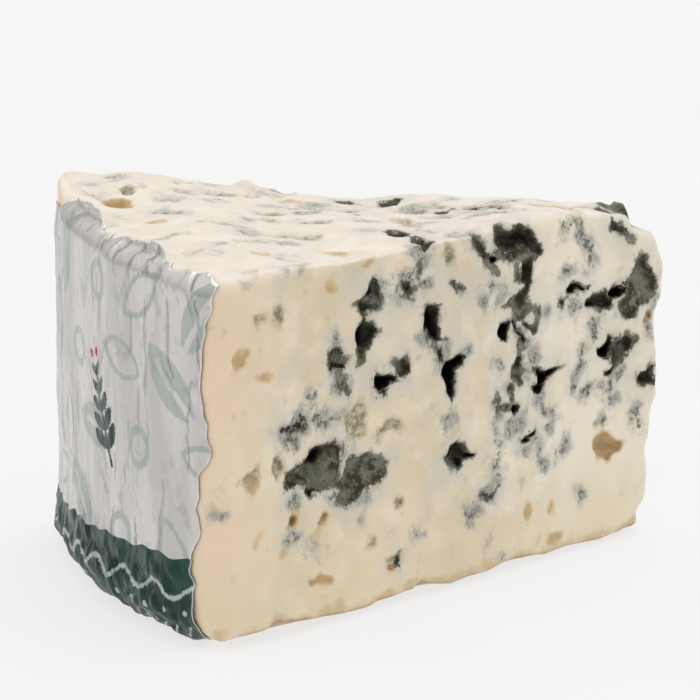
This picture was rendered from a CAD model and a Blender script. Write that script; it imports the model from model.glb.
# Looks of a wedge of blue cheese: veined paste with open holes, and the torn printed foil on its rim.
# Lengths are in millimetres up to the meshes, which are in metres.
import itertools
import math

import bpy
import numpy as np
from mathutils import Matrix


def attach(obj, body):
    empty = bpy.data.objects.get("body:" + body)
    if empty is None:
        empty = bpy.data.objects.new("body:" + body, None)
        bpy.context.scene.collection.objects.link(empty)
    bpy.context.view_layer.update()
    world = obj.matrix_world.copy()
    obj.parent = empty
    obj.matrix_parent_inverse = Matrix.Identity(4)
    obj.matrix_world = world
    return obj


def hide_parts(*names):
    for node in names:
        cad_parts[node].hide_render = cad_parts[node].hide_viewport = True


MM = 0.001

# The wedge in plan and height, as in the CAD, and where the roundings of its edges pass into each other:
# behind the rim, towards the far rim corner, and along the top of the rim
WHEEL_RADIUS = 95.4
WHEEL_AXIS_X = 46.9
RIM_HALF_WIDTH = 38.6
NOSE_HALF_WIDTH = 2.6
NOSE_X = 44.9
HEIGHT = 54.7
FAR_CORNER_RISE = 5.6
RISE_POWER = 2.8
NOSE_LEAN = 4.0
NOSE_LEAN_HEIGHT = 37
CUT_ROUND = 1.2
RIM_CORNER_ROUND = 3.2
RIM_TOP_ROUND = 2.8
LOWER_RIM_ROUND = 6
NOSE_ROUND = 1.9
RIM_BAND = (6, 12)
FAR_SHARP_Y = (0, 20)
FAR_SHARP_Z = (36, 52)
TOP_ROUND_Y = (28, 12)
FOIL = 0.7
CLEARANCE = 0.3
HEM = 9
HEM_STEP = 3
WAVE = 0.45
RIM_X = WHEEL_AXIS_X - WHEEL_RADIUS
PASTE_RADIUS = WHEEL_RADIUS - FOIL - CLEARANCE

# The camera at the photograph's viewing angle
CAMERA_AT = (-170.9, -426.0, 137.43)
CAMERA_PITCH = 12.7235
CAMERA_TURN = 21.3389
FRAME_PIXELS = 700
FOCAL_PIXELS = 3000
SENSOR = 36

# The sky's strength by height: dim at the horizon, bright above
SKY = {"From Min": 0.0, "From Max": 0.7, "To Min": 0.55, "To Max": 0.95}

# The floor's own glow and how much light it scatters, which together make it near white, and its half width
# in metres
FLOOR_GLOW = 0.72
FLOOR_SHADE = 0.2
FLOOR_HALF = 3.0

# Grid for the paste: cell size, the coarser steps deep behind the near face, where they start, the margin
# round the solid, and the value that stands for a place far from a lining or a print
CELL = 0.45
DEEP_CELL = 0.8
FINE_DEPTH = 5
MARGIN = 2.5
FAR_AWAY = -9.0

# Hollows in the near cut face by what lines them: depth, and outline. A place on a cut face is its distance
# from the rim corner and its height.
NEAR_OUTLINES = {
    "grey": [
        (2.8, [(26.4, 47.7), (28.6, 48.8), (30.5, 51.2), (31.7, 50.4), (33, 47.8), (31.3, 45.3),
            (28, 45.5)]),
        (2.2, [(26.9, 41.5), (26.8, 38.7), (28.8, 39), (29.3, 41)]),
        (2.4, [(34.9, 37.4), (37.7, 37.9), (39.1, 36.6), (38.4, 35.3), (36.5, 35.1), (35.4, 36.5)]),
        (2.4, [(21.1, 41), (22.9, 41.8), (25.3, 40.1), (24.7, 39.4), (22.3, 39.2), (21.5, 40)]),
        (4.2, [(12.7, 23), (13.1, 24.9), (14.8, 25.2), (18.5, 27.1), (20.5, 27.8), (22.8, 27.6),
            (24.1, 26.2), (24.1, 23.6), (23.7, 21.2), (20.2, 21.6), (18.3, 20.3), (17.2, 22.4),
            (15.5, 22.8)]),
        (1.9, [(23.4, 22.2), (25, 23.1), (27.1, 24.5), (28.9, 24.8), (31.5, 24), (33, 22.9), (32, 20.5),
            (29.9, 19.7), (27.6, 18.4), (25, 17.9), (23.7, 18.7), (24.4, 20.4)]),
        (1.4, [(57.1, 52.6), (59.2, 51.9), (62.1, 51.7), (66, 50.9), (65.2, 49.4), (61.8, 49.7),
            (58, 51.1)]),
        (2.2, [(58.2, 43), (61.5, 44.8), (63, 46), (64.3, 46), (64.2, 43.4), (65.6, 41.5), (63.4, 40.7),
            (61.9, 39.9), (60.9, 41.2), (60.1, 42.5)]),
        (2.0, [(62, 34.9), (63.1, 34.5), (63.3, 30.4), (62.4, 30.1), (60.8, 30.7), (60.4, 31.6),
            (60.8, 32.9)]),
        (2.4, [(89.9, 47), (91.3, 44.1), (93.2, 42.6), (92.9, 40.8), (92.2, 38.5), (90.3, 38.4),
            (89.4, 36.4), (87.3, 36.4), (85.6, 36.9), (85, 38.5), (86.6, 41.1), (85.7, 42.7), (87.4, 43.5),
            (88.1, 45.9)]),
        (3.0, [(83.7, 33.4), (87.2, 33.9), (89.5, 32.8), (89, 31.8), (86.6, 29.6), (84.9, 28.4),
            (83.6, 30.4)]),
        (3.2, [(45.1, 21.2), (46, 22.6), (47.5, 23.1), (49.4, 22.4), (50, 21.3), (52.1, 20.9),
            (51.9, 20.2), (49.4, 19.7), (49.2, 18.4), (47.9, 18.2), (46.2, 19)]),
        (1.6, [(83.6, 53.6), (85.8, 51.9), (87.4, 49.6), (86.6, 48.5), (85.6, 50.6), (83.4, 52)]),
    ],
    "dark": [
        (4.4, [(28, 45.7), (28.1, 44), (27.2, 43), (27, 40.5), (30.5, 40.7), (32.2, 42.4), (30.7, 43.8),
            (29.2, 44.6), (29, 45.6)]),
        (3.0, [(36.9, 49.3), (38.2, 49.9), (39.1, 49.1), (39.9, 47.5), (38.2, 47.5)]),
        (4.0, [(42.1, 45.2), (41.9, 42.2), (42.6, 41), (43.3, 39.9), (46.2, 39.6), (44.8, 40.8),
            (44.9, 44.2)]),
        (3.8, [(57.3, 55.6), (62.1, 55.3), (63.6, 54), (64.9, 52.7), (66.3, 50.8), (64.6, 50.4),
            (62.1, 51.5), (59.2, 51.7), (57.1, 52.5), (56.6, 53.6)]),
        (2.6, [(61.8, 49.9), (64.9, 49.8), (64.6, 47.8), (64.1, 45.2), (63, 45.2), (63, 46.4),
            (61.8, 46.6)]),
        (3.4, [(77.6, 39.9), (78.2, 41.1), (79.1, 41.6), (82.2, 41.6), (83.2, 40.2), (83.5, 39.1),
            (82.6, 38.2), (81, 38.1), (80.1, 38.9), (79.3, 39.7)]),
        (2.6, [(90.4, 26.6), (92.3, 28), (93.9, 28.6), (92.8, 27.2), (94.2, 25), (93.4, 24.3),
            (90.5, 25.3)]),
        (1.6, [(52.7, 13), (53.8, 14.9), (55.2, 13.9), (56.8, 14.3), (56, 12.9), (54.1, 13.7)]),
        (2.0, [(59.1, 29.9), (60.3, 30.4), (60.5, 29), (59.6, 28.7)]),
        (1.6, [(71.7, 40.6), (72.2, 41.9), (73.2, 41.8), (72.4, 40.6)]),
        (2.0, [(35, 5.9), (35.9, 7.4), (36.4, 6), (35.6, 5.5)]),
    ],
    "black": [
        (5.0, [(28.4, 48.7), (29.5, 49.9), (31.3, 49), (29.6, 48.4)]),
        (5.5, [(28.1, 44.6), (27.3, 43), (27.2, 41.2), (28.8, 41.4), (29.3, 43.6)]),
        (5.0, [(42.2, 45), (42, 42.3), (42.8, 41.4), (43.3, 40.1), (44.8, 40), (43.6, 42), (43.6, 44.4)]),
        (7.0, [(46, 36.2), (49, 36.7), (50, 36), (48, 34.1), (47.6, 32.6), (46.9, 30.8), (46.4, 30.1),
            (45.3, 30.5), (45.3, 32.4), (44.7, 34.2), (45.8, 35.2)]),
        (6.0, [(30.6, 36.1), (31.2, 36.4), (34.9, 35.4), (36.5, 35.3), (34.8, 34.7), (33.4, 33.9),
            (31.5, 33)]),
        (3.6, [(22, 39.9), (24.6, 39.5), (25.1, 38.7), (22.2, 39), (21.8, 38.3), (21.4, 39.1)]),
        (8.0, [(16.4, 26.1), (18.3, 27.1), (20.1, 27.6), (20.8, 26.6), (20.2, 25.5), (19.3, 24.8),
            (16.8, 25.5)]),
        (3.4, [(17.2, 22.2), (17.2, 21.2), (18.3, 20.2), (19.2, 21.2), (18.2, 21.4)]),
        (6.0, [(57.9, 40.3), (59.9, 40.1), (59.6, 38.6), (59.7, 37.6), (57.6, 37.6), (57, 38.7)]),
        (6.0, [(65.8, 31.1), (66.5, 31.5), (68.5, 31), (69.7, 31.7), (72.1, 31.9), (73.1, 31.2),
            (71.5, 31), (70, 30.4), (68.8, 29.3), (67.4, 28), (66.1, 28.2), (65.6, 29.1), (66.8, 29.5),
            (67.1, 30.1)]),
        (4.4, [(73.1, 43.4), (74, 44), (76.1, 43.6), (76.8, 43.3), (78.8, 43.3), (76.4, 42.4), (75.3, 43),
            (74.1, 42)]),
        (6.0, [(80.3, 33), (81.7, 33), (83.1, 34.3), (83.9, 33.4), (83.1, 31.7), (83.7, 30.2), (82.5, 31),
            (80.8, 31.6)]),
        (4.6, [(82.4, 41.1), (84.5, 42.2), (86.5, 41.9), (85.5, 40.3), (83.9, 40.2)]),
        (4.0, [(77.7, 39.9), (78.4, 41), (79.6, 40.8), (79.9, 39.4)]),
        (3.6, [(59.9, 26.3), (61.8, 26.9), (62.3, 26.3), (60.9, 25), (60.4, 25.6)]),
        (3.2, [(63.1, 21.3), (64.3, 22.1), (64.7, 21.4), (65.8, 21.6), (66.2, 22.4), (66.1, 20.8),
            (63.5, 20.7)]),
        (4.6, [(45.3, 21.3), (46.1, 22.5), (47.5, 23), (48.9, 22.2), (47.3, 22), (46, 21)]),
        (5.0, [(47.6, 20.5), (49.2, 19.9), (49.1, 18.5), (47.9, 18.4)]),
        (4.6, [(49.9, 21.3), (52, 20.9), (51.8, 20.3), (50, 20.4)]),
        (3.4, [(55.7, 51.3), (56.7, 52.2), (57.6, 51.4), (57.1, 50.4), (56, 50.5)]),
        (3.4, [(59, 54), (61.5, 54.2), (63.4, 52.6), (64.4, 51.4), (61.4, 52.6)]),
    ],
    "ochre": [
        (2.4, [(80, 15.9), (80.3, 17.4), (81.4, 18.5), (83.4, 18.5), (85.9, 16.9), (87.4, 16.9),
            (85.9, 15.5), (84.4, 14.7), (83.3, 13.4), (82.5, 13.1), (81.4, 14)]),
        (2.4, [(13.2, 17), (13.5, 18.6), (14.6, 18.9), (15.5, 18), (15.3, 16.3), (14.1, 16)]),
        (1.6, [(20, 15.5), (20.8, 17.6), (22.4, 17.4), (22, 16.4), (20.9, 15.6)]),
        (0.9, [(2.8, 43.2), (4, 44.5), (6.1, 44), (5.3, 42.5), (3.7, 41.9)]),
        (0.7, [(27.8, 52.8), (29, 53.8), (31.7, 53.8), (30.7, 52.7), (29.5, 52.4)]),
        (1.2, [(91.5, 34.5), (92, 36.6), (93.4, 37.3), (93.8, 35.8), (92.5, 34.5)]),
        (2.2, [(33.4, 6.3), (34.1, 6.9), (35.1, 6), (35, 5.1), (34.1, 4.6), (33.5, 5.3)]),
        (0.8, [(18.6, 7.7), (20, 8.1), (22.6, 7.3), (22.7, 5.9), (20.5, 6.1), (19.2, 6.6)]),
    ],
    "olive": [
        (1.8, [(6.7, 49.4), (9.1, 49.3), (8.5, 48.4), (7.4, 47.5), (6.8, 48.5)]),
        (1.8, [(32.7, 8.2), (34.8, 7.9), (35.9, 8.6), (37.2, 8.1), (36.6, 6.8), (35.9, 5.9), (33.5, 7.3)]),
        (1.0, [(4, 25), (7, 27.3), (7.5, 25.6), (7, 24.3), (5.2, 24)]),
        (1.2, [(31, 26.3), (31.2, 28), (32.5, 29.2), (34.7, 29.5), (36.6, 28.4), (36.4, 26.9),
            (33.2, 27.2)]),
    ],
}

# Cracks and seams of mould in it: width, depth and route
NEAR_SEAMS = {
    "black": [
        (0.6, 2.2, [(60.9, 40.2), (61.2, 38.6), (62.2, 37.3), (63.2, 36.3)]),
        (0.6, 1.8, [(82.5, 28.2), (84.4, 28), (84.4, 29.6), (85.4, 30.6)]),
        (0.5, 1.2, [(12.1, 31.6), (13.9, 32.1)]),
        (0.5, 1.2, [(14.4, 31.6), (15.4, 32.6), (16.7, 31.9)]),
        (0.5, 1.4, [(44.4, 38.6), (45.2, 37.4), (44.6, 36.6)]),
    ],
    "grey": [
        (1.3, 1.2, [(52.4, 54), (54, 52.4), (55, 50.8), (56.6, 49.6), (57, 48.7)]),
        (0.8, 1.0, [(60.4, 49.8), (60.4, 48.2), (61, 47)]),
        (0.9, 1.0, [(65.6, 41.4), (66.9, 40.8), (66.5, 38.7), (65.1, 38.1), (63.8, 39.4)]),
        (0.9, 0.9, [(62.8, 36.4), (62.6, 34.6)]),
        (0.8, 0.8, [(56.9, 28.3), (56.8, 27), (58.6, 26.8), (60, 26.5)]),
        (0.7, 0.6, [(60.2, 28.6), (60.6, 26.9)]),
        (0.8, 0.6, [(23, 38), (24.2, 37.2), (23.8, 36.3), (24.9, 35.4)]),
        (0.8, 0.6, [(43, 40.6), (44.2, 38.8), (45.2, 37.2), (45.4, 36.4)]),
        (0.6, 0.5, [(48.3, 47.8), (48.9, 46.4), (50, 46.6)]),
    ],
    "speck": [
        (2.0, 0.3, [(57.2, 26), (56.6, 22.5), (57.4, 20.4), (56.4, 17.6), (57.6, 15)]),
        (1.8, 0.3, [(66.8, 27.6), (67.8, 25.6), (70.6, 23.4)]),
        (2.0, 0.2, [(66.4, 20.4), (67, 17.6), (68.6, 15.6)]),
        (2.2, 0.3, [(77.6, 33.6), (77, 30.4), (75.4, 27.6)]),
        (2.0, 0.3, [(84.6, 27.6), (83.8, 24.8), (84.6, 23)]),
        (2.6, 0.4, [(75.4, 54.6), (76.4, 51.4), (78.2, 49.6), (78.4, 47)]),
        (3.2, 0.4, [(42.4, 41), (44.6, 38.6), (45.6, 35.8)]),
        (2.6, 0.3, [(62.4, 38.6), (62.8, 35.4)]),
        (2.8, 0.3, [(64.6, 35.4), (66.4, 33.6), (64.8, 31.8)]),
    ],
}

# Patches of speckled and tinted mould in it: distance, height, wide, tall, depth, and any slant in degrees
NEAR_PATCHES = {
    "speck": [
        (5.8, 54.6, 1.6, 1.2, 0.4, 20), (-1.2, 21.2, 4.4, 1.3, 0.3, -15), (12.9, 55, 1.6, 1.8, 0.4),
        (16.3, 55.2, 1.8, 2.6, 0.6), (22.2, 42.8, 2.2, 2.8, 0.8), (24, 36.6, 3.8, 4.4, 0.4),
        (17.6, 35.2, 2.6, 2.6, 0.1), (20.8, 32, 5.8, 3.2, 0.5), (14.5, 31.2, 6.8, 5, 1.0, 20),
        (25, 26, 2, 4, 0.2), (33.7, 49.8, 2.6, 1.6, 0.5), (38.2, 48.8, 6, 5.4, 0.6),
        (41, 51.2, 3.2, 4.6, 0.9, -20), (42, 48.6, 3.4, 2.4, 0.3), (43.7, 49.4, 1.4, 2.2, 0.5),
        (54, 44.6, 2.6, 2.8, 0.6), (55.8, 46.5, 2.4, 1.6, 0.5, 20), (58.2, 45.5, 2, 1.6, 0.4),
        (57.2, 44.2, 2.8, 1.6, 0.5), (50.6, 37.4, 3, 1.8, 0.1, 20), (46.2, 27, 1.9, 3.4, 0.4),
        (57, 33.4, 2.4, 1.8, 0.4, 35), (73.2, 46.5, 3, 2.8, 1.0), (72.8, 54, 3.4, 2, 0.5),
        (60.5, 23.4, 3, 3.6, 0.4), (62.6, 23.8, 2, 3.4, 0.3, -20), (63.8, 18.8, 2.2, 2.6, 0.3, -30),
        (69, 21.6, 1.8, 2.2, 0.9), (72.7, 17.6, 4.4, 2.2, 0.2, 30), (78.3, 26.4, 3, 3.2, 0.7),
        (81.8, 26.3, 2.2, 2.2, 0.2), (85.3, 23.8, 2, 1.4, 0.2), (83, 20.7, 2, 1.6, 0.2),
        (89.6, 21, 2.8, 3.6, 0.3), (91, 18.3, 2.2, 2.6, 0.2), (93.4, 38.6, 2.4, 3, 0.5),
        (92.7, 33.4, 2.2, 2.2, 0.3), (51.8, 11.4, 4.8, 3.2, 0.9, 20), (54.8, 14, 5, 3, 0.5),
        (57.4, 16.6, 2.2, 3.6, 0.4), (77.4, 9, 1.9, 2.6, 0.6), (58.9, 2.8, 1.4, 1.8, 0.3),
        (55, 6, 1.4, 2.8, 0.2), (39.2, 10.8, 1.8, 2, 0.1), (28.1, 14.4, 1.2, 1, 0.2),
        (15, 14.6, 3, 2.8, 0.1), (18, 12.6, 1.6, 2.4, 0.1), (41, 54.6, 5.4, 4, 1.0),
        (53, 53.4, 4, 2.4, 0.5, -30), (79.5, 36, 3.4, 4, 0.3), (75, 40, 3, 3, 0.1),
        (29, 18.6, 6, 2.4, 0.3, 20), (13.8, 20.6, 3, 3, 0.1), (23, 19.6, 3, 2.6, 0.2),
        (66.6, 26.8, 2.8, 2.8, 0.2), (86.6, 27.4, 3, 3, 0.1), (68.6, 40, 1.6, 1.8, 0.2),
    ],
    "olive": [
        (11.6, 48, 2.6, 3.4, 0.5), (11.4, 26.6, 2.6, 3.4, 1.2), (11.2, 25.2, 1.2, 1.4, 1.6),
        (35.4, 16.9, 1.8, 2.0, 1.2, -20), (47.4, 52.6, 2.2, 3.4, 1.0), (14.6, 20, 2, 2.4, 0.5),
        (27, 30.4, 5.2, 6, 0.4), (30, 11.3, 1.6, 2, 0.1), (82, 20, 3, 1.6, 0.2),
    ],
    "ochre": [
        (-3, 22.4, 3, 2.4, 0.5), (8.4, 40, 3, 1.6, 0.1, 20), (22.6, 50.5, 1.6, 1.8, 0.3, 40),
        (64.9, 9, 2, 3, 1.0), (70.8, 8, 1.6, 2.6, 0.2, -15), (7.4, 15.8, 1, 2.8, 0.1),
        (13.1, 12.4, 1.4, 2, 0.1), (6.2, 24.3, 1.6, 1.4, 0.7), (19.4, 14.6, 1.8, 1.6, 0.1, 30),
        (71.6, 3, 4, 2, 0.2, 10),
    ],
}

# Patches and pits in the top: X, Y, wide, deep in plan, depth, and any slant
TOP_PATCHES = {
    "grey": [
        (41, 1, 4.2, 5, 0.3),
    ],
    "ochre": [
        (-37, 14.3, 5.6, 6, 1.8, 10), (-8.4, 16, 3.4, 2.6, 0.2), (30, -3, 5, 2.6, 0.2),
        (-36, -2.4, 4, 2.4, 0.2), (-15, -22.6, 4.6, 3, 0.2), (-27, -23, 3, 2, 0.2),
    ],
    "olive": [
        (-39.2, 16.8, 2, 2.4, 1.2), (-30.8, 22, 3.6, 1.8, 0.6), (-22.5, 27.4, 4, 2, 0.5),
        (-17.6, 26.4, 2.6, 1.8, 0.4), (-24.4, 24.6, 2, 2, 0.5), (3, -6.4, 4.6, 6, 1.0, 10),
        (-34, 27, 4, 2, 0.3), (5.4, 12, 5, 3, 0.8),
    ],
    "black": [
        (-32.8, 3.3, 2.8, 1.5, 2.6, -20), (15.8, 1.4, 1.8, 3.8, 2.4, 10),
    ],
    "dark": [
        (11.8, 2.2, 3, 3.4, 1.2), (7, 13.8, 4.4, 2.8, 1.2), (-2.2, 8.6, 2.2, 1.8, 1.2),
        (-2.6, -14.4, 3.6, 4.4, 1.4, 10), (0, -18.8, 2.8, 4, 1.4), (1.7, 16, 1.8, 2.2, 0.8),
        (38, -2.6, 2.4, 5, 0.8, 20),
    ],
    "speck": [
        (-32.2, 5, 6.6, 5, 1.0), (-18.6, 20, 3.6, 3, 0.7), (-21.5, 15, 2.8, 2.2, 0.5),
        (-17, -11, 7, 4.4, 0.6, 10), (-26.4, -15.6, 4.2, 1.9, 0.5), (-21.4, -16.6, 4.4, 2.2, 0.5),
        (-37, -10.6, 4, 1.7, 0.5), (-26.5, -5.5, 4, 2.4, 0.5), (-11.4, -3, 4, 2.8, 0.5),
        (-4.6, 14.2, 5, 4.4, 0.6), (12.5, 6.4, 2.8, 2, 0.4), (16.6, -5.4, 6.4, 3.4, 0.6),
        (7, -15.6, 5, 3, 0.5), (-33, 30, 2.8, 3, 0.4), (-8, 23, 4.2, 3, 0.6), (-12, 12, 4, 2, 0.3),
        (19.5, 1.5, 7, 5, 0.5), (-23.8, -24.6, 2, 3, 0.6), (-29, 14, 5, 2, 0.3), (-10, 5, 6, 3, 0.4),
        (24, 4, 5, 2.4, 0.3),
    ],
}

# How many fine streaks of mould are strewn over the top, and how many clusters over the far cut face, which
# the photograph doesn't show. The patches of a cluster are dealt out by kind: share and depth.
TOP_STREAKS = 56
TOP_SEED = 57
FAR_CLUSTERS = 15
FAR_SEED = 31
CLUSTER_KINDS = {
    "grey": (0.24, 2.4), "dark": (0.1, 3.0), "black": (0.12, 4.6), "speck": (0.44, 0.5), "olive": (0.1, 0.8),
}

# The same holes by rule as in the CAD, from the same seed
FAR_HOLES = 15
TOP_HOLES = 7
SEED = 7
HOLE_SIZES = (3, 8)

# How the hollows are formed by kind: which linings they take, how steep their walls are, how much the floor
# rises away from its deep side, and how far the lining spreads over the lip
LININGS = ("mould", "dark", "black", "ochre", "olive", "speck")
KINDS = {
    "grey": (("mould",), 2.4, 0.75, 0.2),
    "dark": (("mould", "dark"), 3.0, 0.5, 0.1),
    "black": (("mould", "dark", "black"), 7.0, 0.0, 0.1),
    "ochre": (("ochre",), 3.0, 0.3, 0.1),
    "olive": (("olive",), 1.4, 0.5, 0.2),
    "speck": (("speck",), 0.8, 0.0, 0.0),
}

# How far under a hollow's floor its lining still colours the paste
LINED_DEPTH = 2.0

# How far the near face's hollows lead towards the nose and down for each millimetre of depth, and how deep
# they go on doing so
HOLLOW_LEAD = (0.8, 0.26)
LEAD_DEPTH = 10

# Step and margin of the maps of the faces, reach of those of the cut faces, and how outlines in them stray:
# the size of the strays, how far they go, and how many times as far in the far face and the top
MAP_STEP = 0.25
MAP_MARGIN = 4
FACE_REACH = (98, 58)
STRAYS = ((3.2, 0.24), (1.4, 0.2), (0.7, 0.15))
FAR_STRAY = 2.6
TOP_STRAY = 1.7

# How far the lower edge of the cut faces stands off the floor, by the distance from the rim corner, and how
# far in from the face it comes down to the floor
FOOT_RISE = [
    (0, 2.3), (5, 1.8), (9.5, 1.8), (11, 2.6), (15, 2.0), (20, 1.5), (25, 1.0), (30, 0.8), (32, 1.3),
    (35, 1.2), (40, 1.5), (41.3, 2.6), (43, 1.7), (48, 0.6), (52, 1.0), (56, 0.9), (60, 1.5), (66, 1.3),
    (70, 0.8), (75, 1.2), (83, 0.6), (88, 1.1), (94, 1.7),
]
FOOT_DEPTH = 5

# How much the top rises at its far edge, and how much it has lost at the nose, by X
FAR_EDGE_RISE = [
    (-46, 0.8), (-42.5, 0.8), (-40.5, 0), (-32, 0.6), (-26, 0.4), (-20, 0.6), (-14.5, 0.6), (-12.6, 2.0),
    (-10.6, 0.6), (-6, 0.1), (4, 0), (12, 0.8), (20, 0), (60, 0),
]
NOSE_LOSS = [(28, 0), (36, 0.5), (40.5, 1.2), (41.8, 1.8), (42.8, 4.6), (46.5, 5.8), (48, 8.0), (50, 10.0)]

# A crumb that stands on the top at the nose: X, Y, radius and height
NOSE_CRUMB = (42.2, 0.2, 2.1, 1.4)

# Roughness of the paste: height, size of its cells and seed. Crumb lies in and round the hollows, and the
# nose's roughness sets in between two places in X.
RELIEF = {
    "crumb": [(0.16, (1.6, 1.6, 1.6), 14), (0.12, (0.9, 1.2, 0.9), 15)],
    "face": [(0.14, (6, 6, 5), 11), (0.05, (1.7, 1.7, 1.7), 12)],
    "nose": [(0.3, (3, 3, 3), 13), (0.16, (1.5, 1.5, 1.5), 16)],
}
ROUGH_NOSE = (34, 44)

# The foil's sheet: its thickness, the step of its mesh, how far inside the CAD foil's outer side it lies,
# the room for it under the paste, its gap to the paste, how far it may be drawn out or in to keep that gap,
# and how far its sides are cut back at the end of the hem
SHEET = 0.1
SHEET_STEP = 0.45
SHEET_INSET = 0.45
SHEET_ROOM = 0.25
SHEET_GAP = 0.12
SHEET_DRAW = (-0.3, 3.0)
HEM_CUT = 8

# How far round the wheel the rim reaches from its middle, and the length of the foil's bend at its foot
RIM_REACH = math.asin(RIM_HALF_WIDTH / WHEEL_RADIUS) * WHEEL_RADIUS
QUARTER = (math.pi / 2) * LOWER_RIM_ROUND

# How far the foil's torn top edge lies below the paste's, by the angle round the wheel in degrees
TOP_EDGE = [
    (-24, 0.8), (-22.5, -0.2), (-17, 0.3), (-15.2, -0.1), (-14.3, -1.8), (-10.8, -1.4), (-7.5, -0.7),
    (-4.9, 0.4), (-1.6, 0.0), (-0.4, -1.8), (5.8, -1.2), (9, -0.4), (12, 2.2), (15, 3.0), (19, 4.2),
    (24, 5.2),
]

# How far its near side edge lies from the rim corner, by the height, and how far its far one does
SIDE_EDGE = [
    (0, 4.9), (9, 5.5), (12, 5.9), (14, 5.4), (18, 3.5), (21, 4.6), (26, 3.6), (29, 1.6), (33, 2.0),
    (38, 3.0), (40, 3.2), (45, 2.6), (49, 1.7), (54, 0.6),
]
FAR_SIDE_INSET = 2.8

# The foil's folds by where they lie: how far they stand out, their size across and up, seed and skew. The
# pleats at its foot: how wide they are and how far they stand out.
FOLDS = {
    "sheet": [(0.2, (6, 24), 1, 0.05), (0.07, (1.4, 2.4), 5, 0)],
    "wall": [(0.08, (2.6, 14), 2, -0.12), (0.14, (5, 18), 3, 0.55), (0.14, (6, 20), 4, -0.7)],
    "crown": [(0.08, (1.6, 2.4), 6, 0.3)],
    "foot": [(0.3, (3, 2), 8, 0.25), (0.16, (1.2, 1.2), 9, 0)],
}
PLEAT = 3.4
PLEAT_STAND = 0.3

# The print: a dark band at the foot with a line, dots and dashes at their heights, pale leaves and rings in
# rows above it, and one dark sprig with berries. Turns are in radians.
BAND_TOP = 14.8
BAND_SLOPE = -0.062
LINE_UP = 9.6
DOTS_UP = 6.4
DOT_SPACING = 4.7
DASHES_UP = 3.0
DASH_SPACING = 2.9
LEAF = (15, 6.5)
SMALL_LEAF = (11, 5)
RING = (2.6, 1.3)
LEAVES_UP = 18
LEAF_SPACING = 15.0
LEAF_ROWS = 5
LEAF_COLUMNS = 7
LEAF_SEED = 5
SPRIG_FOOT = (-12.0, 26.0)
SPRIG_TURN = 1.25
SPRIG_LENGTH = 15
LEAF_TURN = 0.85
BERRY_RADIUS = 0.75

# The sun: its strength, and its width and its turn about X and Y in degrees
SUN_STRENGTH = 0.5
SUN_WIDTH = 50
SUN_TURN = (-10, 14)


def smoothstep(low, high, value):
    share = np.clip((value - low) / (high - low), 0, 1)
    return share * share * (3 - 2 * share)


def mix(first, second, share):
    return first + (second - first) * share


def rounded_max(first, second, rounding):
    """Greater of two distances, with the edge between them rounded."""
    outside = np.hypot(np.maximum(first + rounding, 0), np.maximum(second + rounding, 0))
    return outside + np.minimum(np.maximum(first, second) + rounding, 0) - rounding


def rim_x(side):
    """Where the paste's rim lies in X, for a side from -1 near to 1 far."""
    return WHEEL_AXIS_X - math.sqrt(PASTE_RADIUS**2 - (side * RIM_HALF_WIDTH) ** 2)


def knots(rows, value):
    places, values = zip(*rows)
    return np.interp(value, places, values)


def top_height(x, y):
    share = np.clip((x - RIM_X) / (NOSE_X - RIM_X), 0, 1)
    side = np.clip(y / mix(RIM_HALF_WIDTH, NOSE_HALF_WIDTH, share), -1, 1)
    height = HEIGHT + FAR_CORNER_RISE * (0.5 + 0.5 * side) * (1 - share) ** RISE_POWER
    far_edge = knots(FAR_EDGE_RISE, x) * smoothstep(0.3, 0.9, side)
    crumb_x, crumb_y, radius, rise = NOSE_CRUMB
    crumb = rise * smoothstep(radius, 0.5 * radius, np.hypot(x - crumb_x, y - crumb_y))
    return height + far_edge + crumb - knots(NOSE_LOSS, x - 0.3 * (y + 3))


def nose_lean(z):
    return NOSE_LEAN * np.sin((math.pi / 2) * (z / NOSE_LEAN_HEIGHT))


def wave(x, y, z):
    broad = np.sin(x / 9 + 1.3 * np.sin(z / 17 + 1)) + 0.7 * np.sin(y / 6.5 + z / 8 + 2)
    return WAVE * (broad + 0.6 * np.sin(x / 4.3 - z / 5.7))


class Face:
    """A cut face in plan: its corner at the rim, the way to the nose, and the way into the paste."""

    def __init__(self, side):
        self.start = np.array([rim_x(1), side * RIM_HALF_WIDTH])
        step = np.array([NOSE_X, side * NOSE_HALF_WIDTH]) - self.start
        self.along = step / np.linalg.norm(step)
        self.into = side * np.array([self.along[1], -self.along[0]])

    def depth(self, x, y):
        return (x - self.start[0]) * self.into[0] + (y - self.start[1]) * self.into[1]

    def distance(self, x, y):
        """Distance from the rim corner, measured along the face."""
        return (x - self.start[0]) * self.along[0] + (y - self.start[1]) * self.along[1]


NEAR = Face(-1)
FAR = Face(1)


def spline_weights(axis, cell):
    """Weight of each lattice value at each place of an axis, for a cubic spline with one value per cell."""
    place = (axis - axis[0]) / cell
    low = np.floor(place).astype(int)
    t = place - low
    weights = np.zeros((len(axis), low.max() + 4), np.float32)
    rows = np.arange(len(axis))
    weights[rows, low] = (1 - t) ** 3 / 6
    weights[rows, low + 1] = (3 * t**3 - 6 * t**2 + 4) / 6
    weights[rows, low + 2] = (-3 * t**3 + 3 * t**2 + 3 * t + 1) / 6
    weights[rows, low + 3] = t**3 / 6
    return weights


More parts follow.
